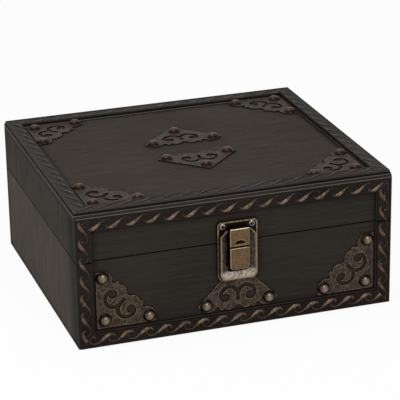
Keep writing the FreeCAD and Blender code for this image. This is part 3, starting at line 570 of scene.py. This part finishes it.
# %% Assign the finishes
FINISH_BY_NAME = [
    ("lid_top_panel", wood_top), ("lid_back_rail", wood_across), ("nails", front_nail),
    ("strike_screws", cross_screw), ("screws", steel), ("rivets", steel), ("pin", steel), ("spring", steel),
    ("hook", steel), ("latch_base", black_plate), ("strike", black_plate), ("latch_frame", silvered),
    ("latch", brass), ("hasp_flap", brass), ("leaf", hinge_brass), ("lid_centre", lid_bronze),
    ("lid_front_left_corner", lid_bronze), ("lid_front_right_corner", lid_bronze), ("lid_back_", lid_bronze),
    ("corner_plate", bronze), ("centre", bronze),
    ("front_top_moulding", front_lacquer), ("top", lid_lacquer), ("moulding", front_lacquer),
    ("lid_left", wood_lid_side), ("lid_right", wood_lid_side), ("left", wood_base_side),
    ("right", wood_base_side), ("", wood_across),
]


def dress(piece, finish):
    """Put a finish in a piece's only material slot."""
    piece.data.materials.clear()
    piece.data.materials.append(finish)


for name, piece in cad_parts.items():
    dress(piece, next(finish for part, finish in FINISH_BY_NAME if part in name))
print("dressed:", len(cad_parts), "CAD pieces")

# %% [markdown]
# ## The running wave
# Every moulding carries a row of breaking waves in low relief. One wave is a line that starts thin under the
# crest before it, dips, rises and swells into its own crest. A curve with a round bevel and a radius at each
# point gives exactly that swelling line, and flattening its tube to a low dome makes it read as carving.

# %% One wave
WAVE_PITCH = 15.36
# Points of the line, in millimetres along and across the strip, each with half the width of the line there.
WAVE_LINE = [(0.9, 8.4, 0.4), (0.2, 6.3, 0.58), (1.5, 4.4, 0.62), (4.2, 3.6, 0.65), (7.0, 4.2, 0.75),
             (9.4, 5.8, 1.0), (11.6, 7.6, 1.5), (13.9, 9.3, 1.95), (16.4, 10.4, 1.6), (18.8, 10.5, 1.0),
             (20.3, 9.4, 0.8), (20.4, 8.0, 0.6), (19.2, 7.6, 0.35)]


def tube_along(points, rounding):
    """Mesh of a round tube along a smooth line of points (x, y, z, radius), closed at both ends."""
    curve = bpy.data.curves.new("tube_line", "CURVE")
    curve.dimensions = "3D"
    curve.bevel_depth = 1.0
    curve.bevel_resolution = rounding
    curve.resolution_u = 3
    curve.use_fill_caps = True
    line = curve.splines.new("NURBS")
    line.points.add(len(points) - 1)
    for point, (x, y, z, radius) in zip(line.points, points):
        point.co = (x, y, z, 1)
        point.radius = radius
    line.order_u = 3
    line.use_endpoint_u = True
    carrier = bpy.data.objects.new("tube_line", curve)
    mesh = bpy.data.meshes.new_from_object(carrier)
    bpy.data.objects.remove(carrier)
    bpy.data.curves.remove(curve)
    return mesh


wave = tube_along([(along, across, 0, half_width) for along, across, half_width in WAVE_LINE], 2)
print("one wave:", len(wave.polygons), "faces")

# %% [markdown]
# ## From a shape to a piece
# New pieces are shaped in bmesh, where every vertex can be cut, moved and merged. Two helpers finish the job:
# one merges doubled vertices, turns the faces outward and makes a mesh, and one makes the mesh an object.

# %% Closed meshes and new pieces
MERGE = 0.005 * MM


def closed_mesh(name, shape, merge=MERGE):
    """Mesh of a finished shape, without doubled vertices and with its faces outward."""
    bmesh.ops.remove_doubles(shape, verts=shape.verts, dist=merge)
    bmesh.ops.recalc_face_normals(shape, faces=shape.faces)
    mesh = bpy.data.meshes.new(name)
    shape.to_mesh(mesh)
    shape.free()
    return mesh


def new_piece(mesh, finish):
    """Object for a new mesh, named after it and dressed in a finish."""
    piece = bpy.data.objects.new(mesh.name, mesh)
    bpy.context.scene.collection.objects.link(piece)
    dress(piece, finish)
    return piece


print("helpers:", closed_mesh.__name__, new_piece.__name__)

# %% [markdown]
# ## A row of waves on a strip
# A strip is described by where its row starts, which way it runs, and which way its crests point. The waves
# are repeated along it, flattened, cut off level with the wood, and then sawn off at the mitred corners and
# at the parting line, just as real strips are carved in long lengths and cut to fit.

# %% Carving a strip
# The tubes are flattened to a share of their height and cut off a little below the wood, and a wave counts as
# fully raised at the height of a crest, in millimetres.
RELIEF, SINK, CREST = 0.34, 0.05, 0.6


def cut_away(shape, point, normal):
    """Saw off what lies beyond a plane and close the cut."""
    everything = shape.verts[:] + shape.edges[:] + shape.faces[:]
    bmesh.ops.bisect_plane(shape, geom=everything, plane_co=point, plane_no=normal, clear_outer=True)
    rims = [edge for edge in shape.edges if edge.is_boundary]
    bmesh.ops.holes_fill(shape, edges=rims, sides=0)


def carve(name, body, finish, origin, along, across, length, first_tip, saws):
    """Row of waves from origin, with its length and first tip in millimetres.

    The saws are planes (point, normal), in metres, to cut the row off at.
    """
    shape = bmesh.new()
    start = (first_tip - WAVE_LINE[-1][0]) % WAVE_PITCH - 2 * WAVE_PITCH
    while start < length:
        known = len(shape.verts)
        shape.from_mesh(wave)
        shape.verts.ensure_lookup_table()
        bmesh.ops.translate(shape, verts=shape.verts[known:], vec=(start, 0, 0))
        start += WAVE_PITCH
    bmesh.ops.scale(shape, verts=shape.verts, vec=(1, 1, RELIEF))
    cut_away(shape, (0, 0, -SINK), (0, 0, -1))
    gilding = shape.verts.layers.float.new("gilding")
    for vert in shape.verts:
        vert[gilding] = min(1.0, max(0.0, vert.co.z / CREST)) ** 0.5
    turn = Matrix((along, across, along.cross(across))).transposed().to_4x4()
    laid = Matrix.Translation(origin) @ turn @ Matrix.Scale(MM, 4)
    bmesh.ops.transform(shape, matrix=laid, verts=shape.verts)
    for point, normal in saws:
        cut_away(shape, point, normal)
    mesh = closed_mesh(name, shape)
    mesh.shade_smooth()
    piece = new_piece(mesh, finish)
    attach(piece, body)
    print("carved:", name, len(mesh.polygons), "faces")


print("wave height mm:", round(max(vert.co.z for vert in wave.vertices) * RELIEF, 2))

# %% [markdown]
# ## Front strips
# The bottom and the top strip run across, and their crests point in at the panel. The upright strips are sawn
# in two at the parting line, so that their upper halves ride with the lid. The places come from the CAD
# mouldings, and the tips say where along each strip its first wave ends, in millimetres.

# %% Carve the front strips
X, Y, Z = Vector((1, 0, 0)), Vector((0, 1, 0)), Vector((0, 0, 1))
# The carved ground lies this far below the lip of a moulding.
LIP = 0.6 * MM
low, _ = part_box("front_bottom_moulding")
_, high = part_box("front_top_moulding")
inner_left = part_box("front_left_lower_moulding")[1].x
base_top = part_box("front_left_lower_moulding")[1].z
lid_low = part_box("front_left_upper_moulding")[0].z
ground = low.y + LIP
corner = {(side, level): Vector((x, ground, z)) for side, x in ((-1, low.x), (1, high.x))
          for level, z in ((-1, low.z), (1, high.z))}
# Mitres at the lower and the upper corners: a point, and the way to what is sawn off a strip across.
below = {side: (corner[side, -1], Vector((side, 0, 1))) for side in (-1, 1)}
above = {side: (corner[side, 1], Vector((side, 0, -1))) for side in (-1, 1)}
width, height = (high.x - low.x) / MM, (high.z - low.z) / MM
carve("wave_front_bottom", "base", gilded, corner[-1, -1], X, Z, width,
      first_tip=27.0, saws=[below[-1], below[1]])
carve("wave_front_top", "lid", gilded_crests, corner[1, 1], -X, -Z, width,
      first_tip=19.5, saws=[above[-1], above[1]])
for side, name, edge, tip in ((-1, "left", inner_left, 14.7), (1, "right", high.x, 22.2)):
    foot = Vector((edge, ground, low.z))
    mitres = [(point, -normal) for point, normal in (below[side], above[side])]
    carve(f"wave_front_{name}_lower", "base", faded, foot, Z, -X, height, tip,
          [mitres[0], (Vector((0, 0, base_top)), Z)])
    carve(f"wave_front_{name}_upper", "lid", faded, foot, Z, -X, height, tip,
          [mitres[1], (Vector((0, 0, lid_low)), -Z)])

# %% [markdown]
# ## Top strips
# The four strips of the lid run round it in turn, each from one corner to the next, and meet in mitres. They
# have no gilding, only lacquer that is painted a little paler on the crests, a painted highlight.

# %% Carve the top strips
TOP_TIP = 20.0
low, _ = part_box("top_front_moulding")
_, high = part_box("top_back_moulding")
level = high.z - LIP
spots = {(x, y): Vector((high.x if x > 0 else low.x, high.y if y > 0 else low.y, level))
         for x in (-1, 1) for y in (-1, 1)}
width, depth = (high.x - low.x) / MM, (high.y - low.y) / MM
TOP_ROWS = [("front", (-1, -1), X, Y, width), ("back", (1, 1), -X, -Y, width),
            ("right", (1, -1), Y, -X, depth), ("left", (-1, 1), -Y, X, depth)]
for name, start, along, across, length in TOP_ROWS:
    first = spots[start]
    last = first + along * length * MM
    carve("wave_top_" + name, "lid", plain_carving, first, along, across, length, TOP_TIP,
          [(first, across - along), (last, across + along)])

# %% [markdown]
# ## Nail heads
# The dome nails are stamped round and smooth. Each head is a quarter outline spun once about its axis, which
# gives a cleaner highlight than the faceted CAD dome. The heads stand exactly where the CAD nails stand: the
# corners of the CAD mesh are gathered into one box for each nail, and a head is set in each box.

# %% Find the nails and turn a head
NAIL_HEIGHT = 3.4 * MM
# Corners of the CAD mesh that lie within this reach belong to one nail.
NAIL_REACH = 20.0 * MM
NAIL_STEPS, NAIL_SIDES = 10, 28
NAIL_MERGE = 0.01 * MM


def nail_boxes(node):
    """Lowest and highest corner of each nail in a CAD node."""
    boxes = []
    for vert in node.data.vertices:
        point = node.matrix_world @ vert.co
        near = next((box for box in boxes if (box[0] - point).length < NAIL_REACH), None)
        if near is None:
            near = [point.copy(), point.copy()]
            boxes.append(near)
        near[0] = Vector(map(min, near[0], point))
        near[1] = Vector(map(max, near[1], point))
    return boxes


def nail_head(radius):
    """Mesh of a dome with a flat underside on Z = 0."""
    shape = bmesh.new()
    ball = (radius ** 2 + NAIL_HEIGHT ** 2) / (2 * NAIL_HEIGHT)
    sweep = math.asin(radius / ball)
    angles = [sweep * step / NAIL_STEPS for step in range(NAIL_STEPS + 1)]
    outline = [(ball * math.sin(angle), NAIL_HEIGHT - ball * (1 - math.cos(angle))) for angle in angles]
    corners = [shape.verts.new((across, 0, up)) for across, up in outline + [(0, 0)]]
    edges = [shape.edges.new(pair) for pair in zip(corners, corners[1:])]
    bmesh.ops.spin(shape, geom=corners + edges, cent=(0, 0, 0), axis=Z, angle=math.tau, steps=NAIL_SIDES,
                   use_merge=True)
    crown = shape.verts.layers.float.new("crown")
    for vert in shape.verts:
        vert[crown] = vert.co.z / NAIL_HEIGHT
    return closed_mesh("nail_head", shape, NAIL_MERGE)


nails = {name: nail_boxes(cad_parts[name]) for name in ("base_dome_nails", "lid_dome_nails")}
print("nails found:", {name: len(boxes) for name, boxes in nails.items()})

# %% [markdown]
# ## Setting the heads
# A head is turned to face the way its plate faces, out of the front or up from the lid. All the heads of one
# body are a single piece, which takes the place of the CAD nails.

# %% Set the nail heads
SHARP_TURN = math.radians(40)
for body, node_name, outward, finish in (("base", "base_dome_nails", -Y, front_nail),
                                         ("lid", "lid_dome_nails", Z, lid_nail)):
    boxes = nails[node_name]
    radius = (boxes[0][1].x - boxes[0][0].x) / 2
    head = nail_head(radius)
    turn = Z.rotation_difference(outward).to_matrix().to_4x4()
    shape = bmesh.new()
    for low, high in boxes:
        reach = abs((high - low).dot(outward)) / 2
        spot = (low + high) / 2 + outward * (reach - NAIL_HEIGHT)
        known = len(shape.verts)
        shape.from_mesh(head)
        shape.verts.ensure_lookup_table()
        bmesh.ops.transform(shape, matrix=Matrix.Translation(spot) @ turn, verts=shape.verts[known:])
    mesh = bpy.data.meshes.new("nail_heads_" + body)
    shape.to_mesh(mesh)
    shape.free()
    mesh.shade_smooth()
    mesh.set_sharp_from_angle(angle=SHARP_TURN)
    piece = new_piece(mesh, finish)
    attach(piece, body)
    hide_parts(node_name)
    print("nail heads:", piece.name, len(boxes), "radius mm", round(radius / MM, 2))

# %% [markdown]
# ## Moulding pins
# Small bright pins hold the upright strips, and they glint in the photograph. A pin head is a short cone with
# its top edge rounded by a bevel, and all the pins of one body are a single piece.

# %% Pin heads
PIN_FOOT, PIN_TOP, PIN_DEPTH, PIN_ROUND = 0.62 * MM, 0.5 * MM, 0.9 * MM, 0.25 * MM
PIN_SIDES, PIN_STEPS = 14, 3
# Places of the pins, in millimetres across from the middle and up from the floor.
PINS = {"base": [(-125.5, 22.5), (-126.3, 37.5), (-126.3, 55.0), (121.6, 35.5), (123.8, 60.5)],
        "lid": [(-124.5, 90.0), (123.9, 81.5), (123.0, 93.2)]}
FACING_FRONT = Matrix.Rotation(math.radians(90), 4, "X")
for body, places in PINS.items():
    shape = bmesh.new()
    for x, z in places:
        spot = Matrix.Translation((x * MM, ground, z * MM))
        head = bmesh.ops.create_cone(shape, cap_ends=True, segments=PIN_SIDES, radius1=PIN_FOOT,
                                     radius2=PIN_TOP, depth=PIN_DEPTH, matrix=spot @ FACING_FRONT)
        crown = [edge for vert in head["verts"] for edge in vert.link_edges
                 if all(end.co.y < ground for end in edge.verts)]
        bmesh.ops.bevel(shape, geom=list(set(crown)), offset=PIN_ROUND, offset_type="OFFSET",
                        segments=PIN_STEPS, profile=0.5, affect="EDGES", material=-1)
    piece = new_piece(closed_mesh("moulding_pins_" + body, shape), steel)
    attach(piece, body)
    print("pins:", piece.name, len(places))

# %% [markdown]
# ## Latch spring
# A small coil pushes the latch slide up, and it shortens when the slide is pressed. The CAD coil is a rigid
# piece, and a coil with the same size and number of turns takes its place: a tube along a helix from the foot
# of the spring to its head.

# %% Coil in place of the CAD spring
SPRING_WIRE = 0.2 * MM
SPRING_TURNS, SPRING_STEPS = 5, 16
low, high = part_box("latch_spring")
middle = (low + high) / 2
coil_radius = (high.x - low.x) / 2 - SPRING_WIRE
climb = (high.z - low.z - 2 * SPRING_WIRE) / (SPRING_TURNS * SPRING_STEPS)
helix = [(middle.x + coil_radius * math.cos(math.tau * step / SPRING_STEPS),
          middle.y + coil_radius * math.sin(math.tau * step / SPRING_STEPS),
          low.z + SPRING_WIRE + climb * step, SPRING_WIRE)
         for step in range(SPRING_TURNS * SPRING_STEPS + 1)]
coil = tube_along(helix, 1)
shape = bmesh.new()
shape.from_mesh(coil)
mesh = closed_mesh("spring_coil", shape)
mesh.shade_smooth()
piece = new_piece(mesh, steel)
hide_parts("latch_spring")
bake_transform(piece)
print("spring:", piece.name, "turns", SPRING_TURNS, "length mm", round((high.z - low.z) / MM, 2))

# %% [markdown]
# ## Floor
# The chest stands on a plain pale floor. Where the camera or a reflection looks at it, most of the floor
# glows white, and the rest is ordinary paint that still shows the soft shadow of the chest. The Light Path
# node tells such a look from the light that falls on the floor and bounces back to the chest.

# %% Floor
FLOOR_HALF = 6.0
FLOOR_GREY, FLOOR_PALE = (0.78, 0.78, 0.78, 1), (0.82, 0.82, 0.82, 1)
GLOW_SHARE = 0.93


def seen_directly(tree):
    """1 where the camera, a reflection or a view through glass looks, 0 where only light arrives."""
    path = add(tree, "ShaderNodeLightPath").outputs
    seen = path["Is Camera Ray"]
    for ray in ("Is Glossy Ray", "Is Transmission Ray"):
        seen = add(tree, "ShaderNodeMath", {0: seen, 1: path[ray]}, operation="MAXIMUM").outputs[0]
    return seen


pale, tree, shader, place = new_finish("pale_floor", {"Roughness": 0.9, "Specular IOR Level": 0.0})
feed(tree, shader.inputs["Base Color"], mixed(tree, noise(tree, place, 3.0), FLOOR_GREY, FLOOR_PALE))
glow = add(tree, "ShaderNodeEmission", {"Color": (1, 1, 1, 1), "Strength": 1.0})
veiled = add(tree, "ShaderNodeMixShader", {0: times(tree, seen_directly(tree), GLOW_SHARE),
                                           1: shader.outputs["BSDF"], 2: glow.outputs["Emission"]})
feed(tree, tree.nodes["Material Output"].inputs["Surface"], veiled.outputs["Shader"])
shape = bmesh.new()
bmesh.ops.create_grid(shape, x_segments=1, y_segments=1, size=FLOOR_HALF)
mesh = bpy.data.meshes.new("floor")
shape.to_mesh(mesh)
shape.free()
floor = new_piece(mesh, pale)
print("floor:", floor.name, "width m", 2 * FLOOR_HALF)

# %% [markdown]
# ## Backdrop
# The world round the chest is white where the camera or a reflection looks at it, and much dimmer as a lamp,
# so the wood stays dark.

# %% World
WORLD_LIGHT, WORLD_SEEN = 0.15, 1.0
world = bpy.data.worlds.new("studio")
bpy.context.scene.world = world
world.use_nodes = True
tree = world.node_tree
backdrop = tree.nodes["Background"]
backdrop.inputs["Color"].default_value = (1, 1, 1, 1)
feed(tree, backdrop.inputs["Strength"], ramp(tree, seen_directly(tree), 0.0, 1.0, WORLD_LIGHT, WORLD_SEEN))
print("world:", world.name, "light", WORLD_LIGHT)

# %% [markdown]
# ## Lamps
# Three soft lamps give a bright top, a fairly bright left side and a darker front. The front lamp also makes
# the highlight on each nail.

# %% Lamps
LAMP_AIM = Vector((0, 0, 0.06))


def softbox(name, place, size, power):
    """Square soft lamp that faces the chest."""
    lamp = bpy.data.lights.new(name, "AREA")
    lamp.size = size
    lamp.energy = power
    box = bpy.data.objects.new(name, lamp)
    box.location = place
    box.rotation_euler = (LAMP_AIM - Vector(place)).to_track_quat("-Z", "Y").to_euler()
    bpy.context.scene.collection.objects.link(box)
    print("lamp:", name, "size m", size, "watts", power)


softbox("top_lamp", (-0.4, 0.0, 1.7), size=1.2, power=18.0)
softbox("left_lamp", (-1.5, -0.8, 0.45), size=1.2, power=8.0)
softbox("front_lamp", (0.2, -1.9, 1.25), size=0.7, power=24.0)

# %% [markdown]
# ## Camera
# The photograph was taken with a long lens from the left and a little above. The lens, the place and the
# slight tilt come from fitting the chest's corners and edges to the photograph.

# %% Camera
CAMERA_AIM = Vector((0.0086, 0.0023, 0.0621))
CAMERA_TILT = math.radians(-1.0)
lens = bpy.data.cameras.new("camera")
lens.sensor_width = 36.0
lens.lens = 173.89
camera = bpy.data.objects.new("camera", lens)
camera.location = (-0.4596, -1.4253, 0.6486)
aim = (CAMERA_AIM - camera.location).to_track_quat("-Z", "Y")
camera.rotation_mode = "QUATERNION"
camera.rotation_quaternion = aim @ Quaternion(Z, CAMERA_TILT)
bpy.context.scene.collection.objects.link(camera)
bpy.context.scene.camera = camera
bpy.context.scene.view_settings.view_transform = "Standard"
print("camera:", camera.name, "lens mm", round(lens.lens, 2))
